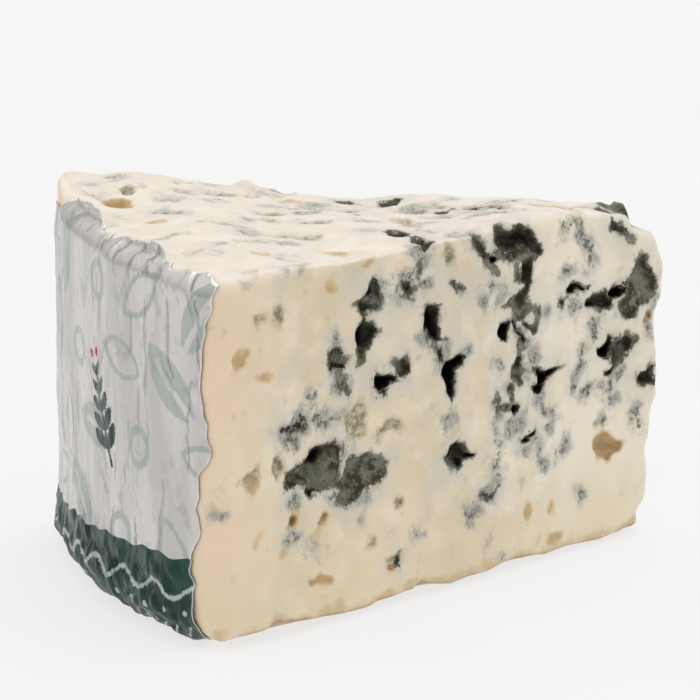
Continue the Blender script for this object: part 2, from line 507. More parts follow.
class Grid:
    """Places on a grid with any number of axes, each a rising list of lengths."""

    def __init__(self, axes):
        self.axes = axes

    def noise(self, cells, seed):
        """Smooth random values of unit deviation, as a spline through a random lattice."""
        weights = [spline_weights(axis, cell) for axis, cell in zip(self.axes, cells)]
        shape = [weight.shape[1] for weight in weights]
        values = np.random.default_rng(seed).standard_normal(shape).astype(np.float32)
        for weight in weights:
            values = np.tensordot(values, weight, axes=(0, 1))
        return values / values.std()

    def sample(self, field, *places):
        """Values of a field at places given axis by axis, straight between its grid places."""
        places = np.broadcast_arrays(*places)
        steps = [np.interp(place, axis, np.arange(len(axis))) for place, axis in zip(places, self.axes)]
        low = [np.minimum(step.astype(int), len(axis) - 2) for step, axis in zip(steps, self.axes)]
        share = [step - start for step, start in zip(steps, low)]
        total = 0
        for corner in itertools.product((0, 1), repeat=len(self.axes)):
            weight = np.prod([s if c else 1 - s for s, c in zip(share, corner)], axis=0)
            total = total + weight * field[tuple(start + c for start, c in zip(low, corner))]
        return total


def grid_point(x, y):
    offset = np.array([x, y]) - NEAR.start
    return np.array([offset @ NEAR.along, offset @ NEAR.into])


def stroke(side, up, start, end, width):
    """Distance inside a straight stroke with round ends."""
    step = np.subtract(end, start)
    share = np.clip(((side - start[0]) * step[0] + (up - start[1]) * step[1]) / (step @ step), 0, 1)
    return width / 2 - np.hypot(side - start[0] - share * step[0], up - start[1] - share * step[1])


class FaceMap:
    """A face seen square on: how deep each place is hollowed, and how far inside each lining it lies."""

    def __init__(self, low, high, seed, stray=1.0):
        axes = [np.arange(a - MAP_MARGIN, b + MAP_MARGIN, MAP_STEP) for a, b in zip(low, high)]
        self.grid = Grid(axes)
        self.across, self.up = np.meshgrid(*axes, indexing="ij")
        for k, (size, far) in enumerate(STRAYS):
            self.across = self.across + stray * far * self.grid.noise((size, size), seed + k)
            self.up = self.up + stray * far * self.grid.noise((size, size), seed + 10 + k)
        self.floor = np.zeros(self.across.shape)
        self.linings = {lining: np.full(self.across.shape, FAR_AWAY) for lining in LININGS}

    def hollow(self, kind, depth, inside, centre):
        """Hollows the face inside a shape, deepest towards the upper left."""
        linings, wall, rise, lip = KINDS[kind]
        lean = 0.8 * (self.across - centre[0]) - 0.6 * (self.up - centre[1])
        floor = depth * (1 - rise * smoothstep(-1.2, 1.6, lean / max(inside.max(), 0.5)))
        self.floor = np.maximum(self.floor, np.minimum(wall * inside, floor))
        for lining in linings:
            self.linings[lining] = np.maximum(self.linings[lining], inside + lip)

    def outline(self, kind, depth, corners):
        nearest = np.full(self.across.shape, -FAR_AWAY)
        inside = np.zeros(self.across.shape, bool)
        for (x0, y0), (x1, y1) in zip(corners, corners[1:] + corners[:1]):
            nearest = np.minimum(nearest, -stroke(self.across, self.up, (x0, y0), (x1, y1), 0))
            crossing = x0 + (self.up - y0) * (x1 - x0) / ((y1 - y0) or 1)
            inside ^= ((self.up < y0) != (self.up < y1)) & (self.across < crossing)
        self.hollow(kind, depth, np.where(inside, nearest, -nearest), np.mean(corners, axis=0))

    def seam(self, kind, width, depth, route):
        parts = [stroke(self.across, self.up, start, end, width) for start, end in zip(route, route[1:])]
        self.hollow(kind, depth, np.max(parts, axis=0), np.mean(route, axis=0))

    def patch(self, kind, across, up, wide, tall, depth, slant=0):
        turn = math.radians(slant)
        x = (self.across - across) * math.cos(turn) + (self.up - up) * math.sin(turn)
        y = (self.up - up) * math.cos(turn) - (self.across - across) * math.sin(turn)
        reach = np.hypot(x / wide, y / tall) * 2
        slope = np.hypot(x / wide**2, y / tall**2) * 4
        inside = reach * (1 - reach) / np.maximum(slope, 1e-6)
        middle = min(wide, tall) * (1 - reach) / 2
        self.hollow(kind, depth, np.where(reach < 0.3, middle, inside), (across, up))

    def rows(self, draw, table):
        for kind, rows in table.items():
            for row in rows:
                draw(kind, *row)


def seeded_numbers(seed):
    state = seed
    while True:
        state = (state * 16807) % 2147483647
        yield state / 2147483647


def holes_by_rule():
    """The holes that the CAD works out by rule: patch rows for the far face and for the top."""
    numbers = seeded_numbers(SEED)

    def between(low, high):
        return mix(low, high, next(numbers))

    def size():
        return between(*HOLE_SIZES) * between(0.7, 1)

    far = []
    for i in range(FAR_HOLES):
        distance = 8 + (76 * (i + next(numbers))) / FAR_HOLES
        far.append((distance, between(8, 48), size(), size(), between(1.5, 3.5), between(-40, 40)))
    top = []
    for i in range(TOP_HOLES):
        along = (i + next(numbers)) / TOP_HOLES
        x = mix(rim_x(0) + 8, NOSE_X - 22, along)
        y = between(-0.7, 0.7) * mix(RIM_HALF_WIDTH, NOSE_HALF_WIDTH, along)
        top.append((x, y, size(), size(), between(1.2, 2.4), 0))
    return far, top


def vein_cluster(random, distance, height):
    """Mould along one short vein: patch rows by kind."""
    rows = {kind: [] for kind in CLUSTER_KINDS}
    shares = [share for share, _ in CLUSTER_KINDS.values()]
    lean = random.uniform(0.4, 2.4)
    for _ in range(random.integers(4, 8)):
        step = random.normal(0, 4.5)
        kind = random.choice(list(rows), p=shares)
        wide, tall = random.uniform(1.8, 5.5, 2)
        along = distance + step * math.cos(lean) + random.normal(0, 0.8)
        up = np.clip(height + step * math.sin(lean), 3, 53)
        rows[kind].append((along, up, wide, tall, CLUSTER_KINDS[kind][1], random.uniform(-40, 40)))
    return rows


def near_map():
    face = FaceMap((0, 0), FACE_REACH, 40)
    face.rows(face.outline, NEAR_OUTLINES)
    face.rows(face.seam, NEAR_SEAMS)
    face.rows(face.patch, NEAR_PATCHES)
    return face


def far_map(holes):
    face = FaceMap((0, 0), FACE_REACH, 70, FAR_STRAY)
    face.rows(face.patch, {"grey": holes})
    random = np.random.default_rng(FAR_SEED)
    for cluster in range(FAR_CLUSTERS):
        distance = 7 + 82 * (cluster + random.random()) / FAR_CLUSTERS
        face.rows(face.patch, vein_cluster(random, distance, random.uniform(7, 50)))
    return face


def top_map(holes):
    face = FaceMap((RIM_X, -RIM_HALF_WIDTH), (NOSE_X + NOSE_LEAN, RIM_HALF_WIDTH), 90, TOP_STRAY)
    face.rows(face.patch, {"olive": holes[::2], "speck": holes[1::2]})
    face.rows(face.patch, TOP_PATCHES)
    random = np.random.default_rng(TOP_SEED)
    for streak in range(TOP_STREAKS):
        along = (streak + random.random()) / TOP_STREAKS
        x = mix(RIM_X + 4, NOSE_X - 6, along)
        y = random.uniform(-0.9, 0.9) * mix(RIM_HALF_WIDTH, NOSE_HALF_WIDTH, along)
        kind = random.choice(("speck", "speck", "speck", "speck", "olive"))
        wide, deep = random.uniform(1.2, 4.2), random.uniform(0.8, 2.2)
        face.patch(kind, x, y, wide, deep, random.uniform(0.2, 0.7), random.uniform(-30, 30))
    return face


def paste_grid():
    """Grid lines along the near face, into the paste, and up, closest together behind the near face."""
    corners = [grid_point(x, y) for x, y in (NEAR.start, FAR.start, (rim_x(0), 0), (NOSE_X + NOSE_LEAN, 0))]
    low = np.min(corners, axis=0)
    high = np.max(corners, axis=0)
    along = np.arange(low[0] - MARGIN, high[0] + MARGIN, CELL)
    fine = np.arange(-MARGIN, FINE_DEPTH, CELL)
    deep = np.arange(fine[-1] + DEEP_CELL, high[1] + MARGIN, DEEP_CELL)
    up = np.arange(-1.6 * CELL, HEIGHT + FAR_CORNER_RISE + MARGIN, CELL)
    return Grid([along, np.concatenate([fine, deep]), up])


class Paste:
    """The uncut paste at some places: how far outside it they are, and where by its faces and rim."""

    def __init__(self, x, y, z):
        upright = x
        for _ in range(3):
            share = (upright - RIM_X) / (NOSE_X - RIM_X)
            upright = x - nose_lean(z) * smoothstep(0.8, 1, share)
        self.behind_rim = PASTE_RADIUS - np.hypot(upright - WHEEL_AXIS_X, y)
        near_rim = 1 - smoothstep(*RIM_BAND, self.behind_rim)
        lift = SHEET_ROOM * (1 - smoothstep(HEM, HEM + HEM_STEP, self.behind_rim))
        sides = np.maximum(-NEAR.depth(upright, y), -FAR.depth(upright, y))
        far_top = smoothstep(*FAR_SHARP_Y, y) * smoothstep(*FAR_SHARP_Z, z)
        walls = rounded_max(sides, -self.behind_rim, mix(RIM_CORNER_ROUND, CUT_ROUND, far_top))
        walls = rounded_max(walls, upright - NOSE_X, NOSE_ROUND)
        top_round = mix(CUT_ROUND, RIM_TOP_ROUND, near_rim * smoothstep(*TOP_ROUND_Y, y))
        capped = rounded_max(walls, z - top_height(x, y), top_round)
        lower = mix(CUT_ROUND, LOWER_RIM_ROUND - FOIL, near_rim)
        body = rounded_max(capped, lift - z, lower)
        push = wave(x, y, z) * (1 - near_rim) * smoothstep(0, 3, z)
        self.depths = {
            "near": NEAR.depth(upright, y) + push,
            "far": FAR.depth(upright, y) + push,
            "top": top_height(x, y) - z + push,
        }
        along = NEAR.distance(x, y)
        lead = np.clip(self.depths["near"], 0, LEAD_DEPTH)
        self.places = {
            "near": (along - HOLLOW_LEAD[0] * lead, z + HOLLOW_LEAD[1] * lead),
            "far": (FAR.distance(x, y), z),
            "top": (x, y),
        }
        rise = knots(FOOT_RISE, along)
        to_side = np.minimum(self.depths["near"], self.depths["far"])
        self.foot = z - rise * (1 - np.clip(to_side, 0, FOOT_DEPTH) / FOOT_DEPTH)
        self.distance = rounded_max(body - push, -0.9 * self.foot, 0.6)


def cut_hollows(paste, maps, crumb):
    """The paste's distance with the hollows of its faces cut from it, crumbly in them and round them."""
    distance = paste.distance
    rough = 0
    for name, face in maps.items():
        floor = face.grid.sample(face.floor, *paste.places[name])
        mould = face.grid.sample(face.linings["mould"], *paste.places[name])
        under = floor - paste.depths[name]
        rough = np.maximum(rough, smoothstep(-2, 0.5, mould) * (under > -1))
        distance = np.maximum(distance, under)
    return distance + rough * crumb


def lining_fields(paste, maps):
    """How far inside each kind of lining each place lies, in millimetres; negative outside."""
    fields = {lining: np.full(len(paste.distance), FAR_AWAY) for lining in LININGS}
    for name, face in maps.items():
        floor = face.grid.sample(face.floor, *paste.places[name])
        allowed = floor + LINED_DEPTH - paste.depths[name]
        for lining, values in face.linings.items():
            inside = np.minimum(face.grid.sample(values, *paste.places[name]), allowed)
            fields[lining] = np.maximum(fields[lining], inside)
    return fields


def surface_net(field, axes):
    """Corner points and quads of the surface where the field is zero. The field is negative inside."""
    inside = field < 0
    shape = np.array(field.shape) - 1
    corners = np.array(list(itertools.product((0, 1), repeat=3)))
    count = np.zeros(shape, np.int8)
    for corner in corners:
        count += inside[tuple(slice(c, c + n) for c, n in zip(corner, shape))]
    cells = np.argwhere((count > 0) & (count < 8))
    number = np.full(shape, -1, np.int64)
    number[tuple(cells.T)] = np.arange(len(cells))
    total = np.zeros((len(cells), 3))
    hits = np.zeros((len(cells), 1))
    for first, second in itertools.combinations(corners, 2):
        if np.abs(second - first).sum() == 1:
            a = field[tuple((cells + first).T)]
            b = field[tuple((cells + second).T)]
            crossing = (a < 0) != (b < 0)
            share = np.where(crossing, a / np.where(crossing, a - b, 1), 0)
            total += crossing[:, None] * (cells + first + share[:, None] * (second - first))
            hits += crossing[:, None]
    places = total / hits
    points = [np.interp(place, np.arange(len(axis)), axis) for place, axis in zip(places.T, axes)]
    return np.column_stack(points), surface_quads(inside, number)


def surface_quads(inside, number):
    """A quad across each grid line where the surface is crossed, facing out."""
    quads = []
    for axis in range(3):
        second, third = (axis + 1) % 3, (axis + 2) % 3
        low = np.take(inside, range(inside.shape[axis] - 1), axis)
        high = np.take(inside, range(1, inside.shape[axis]), axis)
        edges = np.argwhere(low != high)
        edges = edges[(edges[:, second] > 0) & (edges[:, third] > 0)]
        edges = edges[(edges[:, second] < number.shape[second]) & (edges[:, third] < number.shape[third])]
        around = []
        for back_second, back_third in ((0, 0), (1, 0), (1, 1), (0, 1)):
            cell = edges.copy()
            cell[:, second] -= back_second
            cell[:, third] -= back_third
            around.append(number[tuple(cell.T)])
        quad = np.column_stack(around)
        flip = ~low[tuple(edges.T)]
        quad[flip] = quad[flip][:, ::-1]
        quads.append(quad)
    return np.concatenate(quads)


def largest_piece(points, quads):
    """Drops what isn't joined to the largest piece, such as sealed hollows and loose scraps."""
    label = np.arange(len(points))
    while True:
        lowest = label[quads].min(axis=1)
        new = label.copy()
        for k in range(4):
            np.minimum.at(new, quads[:, k], lowest)
        new = new[new]
        if (new == label).all():
            break
        label = new
    main = np.bincount(label).argmax()
    keep = label == main
    renumber = np.cumsum(keep) - 1
    return points[keep], renumber[quads[keep[quads[:, 0]]]]


def make_mesh(name, points, quads, fields, material):
    mesh = bpy.data.meshes.new(name)
    mesh.vertices.add(len(points))
    mesh.vertices.foreach_set("co", (points * MM).astype(np.float32).ravel())
    mesh.loops.add(quads.size)
    mesh.loops.foreach_set("vertex_index", quads.astype(np.int32).ravel())
    mesh.polygons.add(len(quads))
    mesh.polygons.foreach_set("loop_start", np.arange(0, quads.size, 4, dtype=np.int32))
    mesh.polygons.foreach_set("use_smooth", np.ones(len(quads), bool))
    mesh.update(calc_edges=True)
    mesh.validate()
    for field, values in fields.items():
        mesh.attributes.new(field, "FLOAT", "POINT").data.foreach_set("value", values.astype(np.float32))
    mesh.materials.append(material)
    piece = bpy.data.objects.new(name, mesh)
    bpy.context.scene.collection.objects.link(piece)
    return piece


def from_grid(points):
    """Grid points back in the part's frame."""
    plan = NEAR.start + points[:, :1] * NEAR.along + points[:, 1:2] * NEAR.into
    return np.column_stack([plan, points[:, 2]])


def layers(grid, name):
    return sum(height * grid.noise(cells, seed) for height, cells, seed in RELIEF[name])


def cheese_paste():
    grid = paste_grid()
    a, d, z = np.meshgrid(*grid.axes, indexing="ij", sparse=True)
    x = NEAR.start[0] + a * NEAR.along[0] + d * NEAR.into[0]
    y = NEAR.start[1] + a * NEAR.along[1] + d * NEAR.into[1]
    paste = Paste(x, y, z)
    far_holes, top_holes = holes_by_rule()
    maps = {"near": near_map(), "far": far_map(far_holes), "top": top_map(top_holes)}
    body = cut_hollows(paste, maps, layers(grid, "crumb"))
    free = smoothstep(0, 2, z) * smoothstep(0.5, 6, paste.behind_rim)
    body = body + free * (layers(grid, "face") + smoothstep(*ROUGH_NOSE, x) * layers(grid, "nose"))
    points, quads = surface_net(body.astype(np.float32), grid.axes)
    points, quads = largest_piece(points, quads)
    placed = from_grid(points)
    there = Paste(*placed.T)
    fields = lining_fields(there, maps)
    fields["behind_rim"] = there.behind_rim
    fields["foot"] = there.foot
    placed[:, 2] = np.maximum(placed[:, 2], 0)
    return make_mesh("cheese_paste", placed, quads, fields, paste_material())


def foil_profile(distance, inset):
    """Radius and height of the foil and its outward direction, by the distance along it from its foot."""
    angle = np.clip(distance / LOWER_RIM_ROUND, 0, math.pi / 2)
    outward = np.sin(angle)
    down = np.cos(angle)
    radius = WHEEL_RADIUS - LOWER_RIM_ROUND + (LOWER_RIM_ROUND - inset) * outward + np.minimum(distance, 0)
    height = LOWER_RIM_ROUND - (LOWER_RIM_ROUND - inset) * down + np.maximum(distance - QUARTER, 0)
    return radius, height, outward, -down


def foil_layout():
    """Places over the foil: across it, up it, and the distance to its nearest torn edge."""
    columns = int(2 * RIM_REACH / SHEET_STEP)
    rows = int((HEIGHT + QUARTER) / SHEET_STEP)
    across, upward = np.meshgrid(np.linspace(0, 1, columns), np.linspace(0, 1, rows), indexing="ij")
    torn = Grid([np.arange(0, 4 * HEIGHT, SHEET_STEP)])
    rag = [torn.noise((cell,), 300 + k) for k, cell in enumerate((0.9, 1.0, 1.1, 3.0))]
    level = mix(-RIM_REACH, RIM_REACH, across[:, 0])
    angle = level / WHEEL_RADIUS
    rim_top = top_height(WHEEL_AXIS_X - PASTE_RADIUS * np.cos(angle), PASTE_RADIUS * np.sin(angle))
    inset = knots(TOP_EDGE, np.degrees(angle)) + 0.2 * torn.sample(rag[0], level + RIM_REACH + 1)
    top = rim_top - inset - LOWER_RIM_ROUND + QUARTER
    up = mix(LOWER_RIM_ROUND - HEM, top[:, None], upward)
    height = np.maximum(foil_profile(up, 0)[1], 0)
    spots = height + 1
    cut = HEM_CUT * smoothstep(3, 0, up)
    near_edge = knots(SIDE_EDGE, height) + 0.22 * torn.sample(rag[1], spots) + cut
    far_edge = FAR_SIDE_INSET + 0.22 * torn.sample(rag[2], spots) + torn.sample(rag[3], spots) + cut
    side = mix(near_edge - RIM_REACH, RIM_REACH - far_edge, across)
    to_side = np.minimum(side + RIM_REACH - near_edge, RIM_REACH - far_edge - side)
    to_edge = np.minimum(top[:, None] - up, to_side)
    return side, up, to_edge


def foil_relief(side, up, to_edge):
    """How far the foil stands out in folds, creases and pleats."""
    span = 1.5 * (HEIGHT + WHEEL_RADIUS / 2)
    sheet = Grid([np.arange(-span, span, 0.5)] * 2)

    def creases(cells, seed, skew=0.0):
        return sheet.sample(np.abs(sheet.noise(cells, seed)), side + skew * up, up - skew * side)

    def folds(name):
        return sum(stand * creases(cells, seed, skew) for stand, cells, seed, skew in FOLDS[name])

    height = foil_profile(up, 0)[1]
    pleat = (side + 1.8 * creases((6, 6), 7)) / PLEAT
    pleats = np.abs(2 * (pleat - np.floor(pleat + 0.5)))
    relief = folds("sheet") + smoothstep(4, 14, height) * folds("wall")
    relief += (1 - smoothstep(0.5, 7, to_edge)) * folds("crown")
    relief += (1 - smoothstep(7, 15, height)) * (PLEAT_STAND * pleats + folds("foot"))
    return relief * mix(0.35, 1, smoothstep(0, 4, to_edge))


def fitted(place, height):
    """How far to draw the sheet in so that it lies close on the paste."""
    drawn = np.zeros(height.shape)
    for _ in range(8):
        there = Paste(*place(drawn))
        drawn = np.clip(drawn + 0.8 * (there.distance - SHEET_GAP), *SHEET_DRAW)
    return drawn * smoothstep(5, 9, height)


def closed_sheet(outer, inner):
    """Points and quads of a thin closed sheet from two grids of points."""
    columns, rows = outer.shape[:2]
    number = np.arange(columns * rows).reshape(columns, rows)
    front = np.stack([number[:-1, :-1], number[1:, :-1], number[1:, 1:], number[:-1, 1:]], -1).reshape(-1, 4)
    back = front[:, ::-1] + columns * rows
    loop = np.concatenate([number[:, 0], number[-1, 1:], number[-2::-1, -1], number[0, -2:0:-1]])
    following = np.roll(loop, -1)
    edge = np.column_stack([following, loop, loop + columns * rows, following + columns * rows])
    return np.concatenate([outer.reshape(-1, 3), inner.reshape(-1, 3)]), np.concatenate([front, back, edge])


def leaf(side, up, centre, length, width, turn):
    """Distance inside a pointed leaf."""
    along = (side - centre[0]) * math.cos(turn) + (up - centre[1]) * math.sin(turn)
    across = (up - centre[1]) * math.cos(turn) - (side - centre[0]) * math.sin(turn)
    radius = (length**2 + width**2) / (4 * width)
    return radius - np.hypot(along, np.abs(across) + radius - width / 2)


def ring(side, up, centre, radius, width):
    return width / 2 - np.abs(np.hypot(side - centre[0], up - centre[1]) - radius)


def pale_print(side, up):
    """Large pale leaves in staggered rows, with an outline leaf or a ring between them."""
    random = np.random.default_rng(LEAF_SEED)
    field = np.full(side.shape, FAR_AWAY)
    for row in range(LEAF_ROWS):
        for column in range(LEAF_COLUMNS):
            centre = (
                (column - 3 + 0.5 * (row % 2)) * LEAF_SPACING + random.uniform(-1.5, 1.5),
                LEAVES_UP + row * 0.8 * LEAF_SPACING + random.uniform(-1.5, 1.5),
            )
            turn = random.uniform(0, math.pi)
            kind = (row + column) % 3
            if kind == 0:
                shape = leaf(side, up, centre, *LEAF, turn)
                step = np.array([math.cos(turn), math.sin(turn)])
                shape = np.minimum(shape, -stroke(side, up, centre - 7 * step, centre + 4 * step, 0.9))
            elif kind == 1:
                shape = 0.45 - np.abs(leaf(side, up, centre, *SMALL_LEAF, turn))
            else:
                shape = ring(side, up, centre, *RING)
            field = np.maximum(field, shape)
    return field


def dark_sprig(side, up):
    """A small sprig with paired leaves, and its berries."""
    foot = np.array(SPRIG_FOOT)
    step = np.array([math.cos(SPRIG_TURN), math.sin(SPRIG_TURN)])
    sprig = stroke(side, up, foot, foot + SPRIG_LENGTH * step, 0.8)
    berries = np.full(side.shape, FAR_AWAY)
    for k in range(5):
        for hand in (-1, 1):
            turn = SPRIG_TURN + hand * LEAF_TURN
            reach = 5.4 - 0.6 * k
            middle = 0.5 * reach * np.array([math.cos(turn), math.sin(turn)])
            centre = foot + (2.5 + 2.8 * k) * step + middle
            sprig = np.maximum(sprig, leaf(side, up, centre, reach, 0.42 * reach, turn))
    for k, turn in enumerate((0.4, 2.2)):
        centre = foot + (SPRIG_LENGTH + 1) * step + 1.8 * np.array([math.cos(turn), math.sin(turn)])
        berries = np.maximum(berries, BERRY_RADIUS - np.hypot(side - centre[0], up - centre[1]))
    return sprig, berries


def band_marks(side, up):
    """A pale wave line with dots under it, and short slanted dashes at the foot."""
    line = LINE_UP + BAND_SLOPE * side + 1.1 * np.sin(side / 1.5)
    marks = 0.3 - 0.75 * np.abs(up - line)
    phase = (side / DOT_SPACING - np.round(side / DOT_SPACING)) * DOT_SPACING
    marks = np.maximum(marks, 0.5 - np.hypot(phase, up - DOTS_UP - BAND_SLOPE * side))
    slanted = (side + 0.7 * up) / DASH_SPACING
    dash = 0.28 - np.abs(slanted - np.round(slanted)) * DASH_SPACING
    return np.maximum(marks, np.minimum(dash, 1.1 - np.abs(up - DASHES_UP - BAND_SLOPE * side)))


def foil_wrap():
    side, up, to_edge = foil_layout()
    relief = foil_relief(side, up, to_edge)
    radius, height, outward, upward = foil_profile(up, SHEET_INSET)
    angle = side / WHEEL_RADIUS

    def place(drawn):
        out = radius - drawn
        return WHEEL_AXIS_X - out * np.cos(angle), out * np.sin(angle), np.maximum(height, 2)

    drawn = fitted(place, height)

    def placed(stand):
        out = radius - drawn + outward * stand
        rise = np.maximum(height + upward * stand, 0.02)
        return np.stack([WHEEL_AXIS_X - out * np.cos(angle), out * np.sin(angle), rise], -1)

    points, quads = closed_sheet(placed(relief), placed(relief - SHEET))
    sprig, berries = dark_sprig(side, up)
    wobble = 0.25 * np.sin(side / 2.3) + 0.2 * np.sin(side / 0.9 + 1)
    fields = {
        "band": BAND_TOP + BAND_SLOPE * side + wobble - up,
        "marks": band_marks(side, up),
        "pale": pale_print(side, up),
        "sprig": sprig,
        "berries": berries,
        "to_edge": to_edge,
    }
    doubled = {name: np.tile(values.ravel(), 2) for name, values in fields.items()}
    return make_mesh("foil_wrap", points, quads, doubled, foil_material())


def srgb(*values):
    """A colour as seen on screen, from 0 to 255, as linear light."""
    linear = [v / 255 / 12.92 if v <= 10 else ((v / 255 + 0.055) / 1.055) ** 2.4 for v in values]
    return (*linear, 1)


class Shader:
    """A material and short ways to add nodes to it. Lengths in its noises are in millimetres."""

    def __init__(self, name):
        self.material = bpy.data.materials.new(name)
        self.material.use_nodes = True
        self.tree = self.material.node_tree
        self.surface = self.tree.nodes["Principled BSDF"]
        self.place = self.add("ShaderNodeTexCoord").outputs["Object"]

    def add(self, kind, inputs=(), **settings):
        node = self.tree.nodes.new(kind)
        for name, value in settings.items():
            setattr(node, name, value)
        for socket, value in dict(inputs).items():
            self.put(node.inputs[socket], value)
        return node

    def put(self, socket, value):
        if isinstance(value, bpy.types.NodeSocket):
            self.tree.links.new(value, socket)
        else:
            socket.default_value = value

    def set(self, **values):
        for name, value in values.items():
            self.put(self.surface.inputs[name.replace("_", " ")], value)

    def field(self, name):
        return self.add("ShaderNodeAttribute", attribute_name=name).outputs["Fac"]

    def noise(self, size, detail=2, roughness=0.5, stretch=(1, 1, 1)):
        place = self.add("ShaderNodeVectorMath", {0: self.place, 1: stretch}, operation="MULTIPLY")
        inputs = {"Vector": place.outputs[0], "Scale": 1 / (size * MM), "Detail": detail}
        return self.add("ShaderNodeTexNoise", {**inputs, "Roughness": roughness}).outputs[0]

    def axes(self):
        """The place along, across and up the part, in metres."""
        return self.add("ShaderNodeSeparateXYZ", {0: self.place}).outputs[:]

    def normal_up(self):
        """How far the surface looks up, from -1 to 1."""
        normal = self.add("ShaderNodeNewGeometry").outputs["Normal"]
        return self.add("ShaderNodeSeparateXYZ", {0: normal}).outputs[2]

    def math(self, operation, first, second=0.0):
        return self.add("ShaderNodeMath", {0: first, 1: second}, operation=operation).outputs[0]

    def times(self, first, second):
        return self.math("MULTIPLY", first, second)

    def ramp(self, value, low, high, start=0.0, end=1.0):
        """Rises smoothly from start to end as the value goes from low to high."""
        inputs = {"Value": value, "From Min": low, "From Max": high, "To Min": start, "To Max": end}
        return self.add("ShaderNodeMapRange", inputs, interpolation_type="SMOOTHSTEP").outputs[0]

    def blend(self, share, first, second):
        return self.add("ShaderNodeMix", {0: share, 6: first, 7: second}, data_type="RGBA").outputs[2]

    def tones(self, value, low, high, first, second):
        """From one screen colour to another as the value goes from low to high."""
        return self.blend(self.ramp(value, low, high), srgb(*first), srgb(*second))

    def wobble(self, value, noise, amount):
        """The value, moved up and down by a noise that runs from 0 to 1."""
        return self.math("ADD", value, self.times(self.math("SUBTRACT", noise, 0.5), amount))

    def creased(self, size, stretch):
        """A height with sharp creases, like paper that was crumpled and smoothed out."""
        noise = self.noise(size, 2, 0.5, stretch)
        return self.ramp(self.math("ABSOLUTE", self.math("SUBTRACT", noise, 0.5)), 0, 0.1)

    def bump(self, height, distance, normal=None):
        inputs = {"Height": height, "Distance": distance * MM, "Strength": 1.0}
        if normal is not None:
            inputs["Normal"] = normal
        return self.add("ShaderNodeBump", inputs).outputs[0]


def paste_colour(s):
    """Ivory paste in soft patches: paler to the nose, peach to the rim, whiter on top, tan at the foot."""
    patches = s.noise(4.5, 3)
    along, _, up = s.axes()
    foot = s.field("foot")
    paste = s.tones(s.noise(14, 2), 0.35, 0.65, (234, 217, 189), (222, 205, 175))
    paste = s.blend(s.ramp(patches, 0.42, 0.72, 0, 0.6), paste, srgb(242, 231, 209))
    paste = s.blend(s.ramp(s.noise(7, 3), 0.5, 0.68, 0, 0.45), paste, srgb(206, 203, 186))
    nose = s.ramp(s.wobble(along, patches, 20 * MM), 5 * MM, 30 * MM, 0, 0.6)
    paste = s.blend(nose, paste, srgb(247, 240, 222))
    rim = s.ramp(s.wobble(s.field("behind_rim"), patches, 9), 12, 0, 0, 0.75)
    paste = s.blend(rim, paste, srgb(240, 216, 187))
    low = s.ramp(s.wobble(up, patches, 8 * MM), 16 * MM, 2 * MM, 0, 0.6)
    paste = s.blend(low, paste, srgb(232, 214, 178))
    top = s.ramp(s.normal_up(), 0.45, 0.9, 0, 0.8)
    paste = s.blend(top, paste, s.tones(patches, 0.4, 0.6, (246, 236, 224), (236, 226, 213)))
    stain = s.times(s.ramp(s.field("behind_rim"), 1.8, 0.2), s.ramp(patches, 0.55, 0.68))
    stain = s.times(stain, s.ramp(up, 45 * MM, 50 * MM, 0, 0.55))
    paste = s.blend(stain, paste, srgb(190, 128, 72))
    rind = s.ramp(s.wobble(foot, patches, 7), 2.2, 0.3, 0, 0.65)
    paste = s.blend(rind, paste, srgb(198, 168, 120))
    edge = s.ramp(s.wobble(foot, patches, 1.2), 0.6, 0.1, 0, 0.7)
    return s.blend(edge, paste, srgb(150, 118, 76))


def speckled(s, colour, grain, dust, strength):
    """The colour with speckled mould over it: soft blots, broken veins, and grains thick in a patch."""
    patches = s.noise(2.6, 3)
    speck = s.field("speck")
    cast = s.ramp(s.wobble(speck, patches, 4.0), -1.8, 0.8, 0, 0.55)
    colour = s.blend(cast, colour, srgb(200, 198, 186))
    wash = s.ramp(speck, -1.6, 1.0, -0.26, 0.06)
    blots = s.times(s.ramp(s.math("ADD", patches, wash), 0.34, 0.64, 0, 0.75), strength)
    colour = s.blend(blots, colour, s.tones(dust, 0.35, 0.65, (138, 140, 132), (178, 181, 174)))
    cover = s.ramp(speck, -0.7, 1.1, -0.26, 0.0)
    veined = s.math("MAXIMUM", speck, s.math("ADD", s.field("mould"), -0.4))
    broken = s.times(s.ramp(veined, -1.6, 0.3), s.ramp(grain, 0.4, 0.6, 0, 0.45))
    lines = s.times(broken, s.ramp(s.creased(2.6, (1, 1, 0.7)), 0.4, 0.05))
    colour = s.blend(lines, colour, srgb(122, 120, 102))
    grains = s.times(s.ramp(s.math("ADD", grain, cover), 0.42, 0.6, 0, 0.85), strength)
    colour = s.blend(grains, colour, s.tones(dust, 0.4, 0.62, (62, 60, 47), (132, 133, 120)))
    return colour, s.math("MAXIMUM", blots, grains)


def tinted(s, colour, grain, strength):
    """The colour with olive and ochre linings over it."""
    patches = s.noise(3, 3)
    olive = s.ramp(s.wobble(s.wobble(s.field("olive"), grain, 2.4), patches, 1.0), -0.6, 0.7, 0, 0.8)
    core = s.times(s.ramp(s.field("olive"), -0.2, 1.0), s.ramp(grain, 0.42, 0.58))
    crackled = s.blend(core, srgb(188, 180, 144), srgb(104, 98, 70))
    colour = s.blend(s.times(olive, strength), colour, crackled)
    ochre = s.ramp(s.wobble(s.wobble(s.field("ochre"), grain, 1.2), patches, 1.4), -0.5, 0.6, 0, 0.8)
    pale = s.tones(patches, 0.38, 0.62, (192, 157, 98), (223, 192, 138))
    core = s.ramp(s.field("ochre"), 0.7, 1.8, 0, 0.8)
    return s.blend(ochre, colour, s.blend(core, pale, srgb(150, 114, 60)))


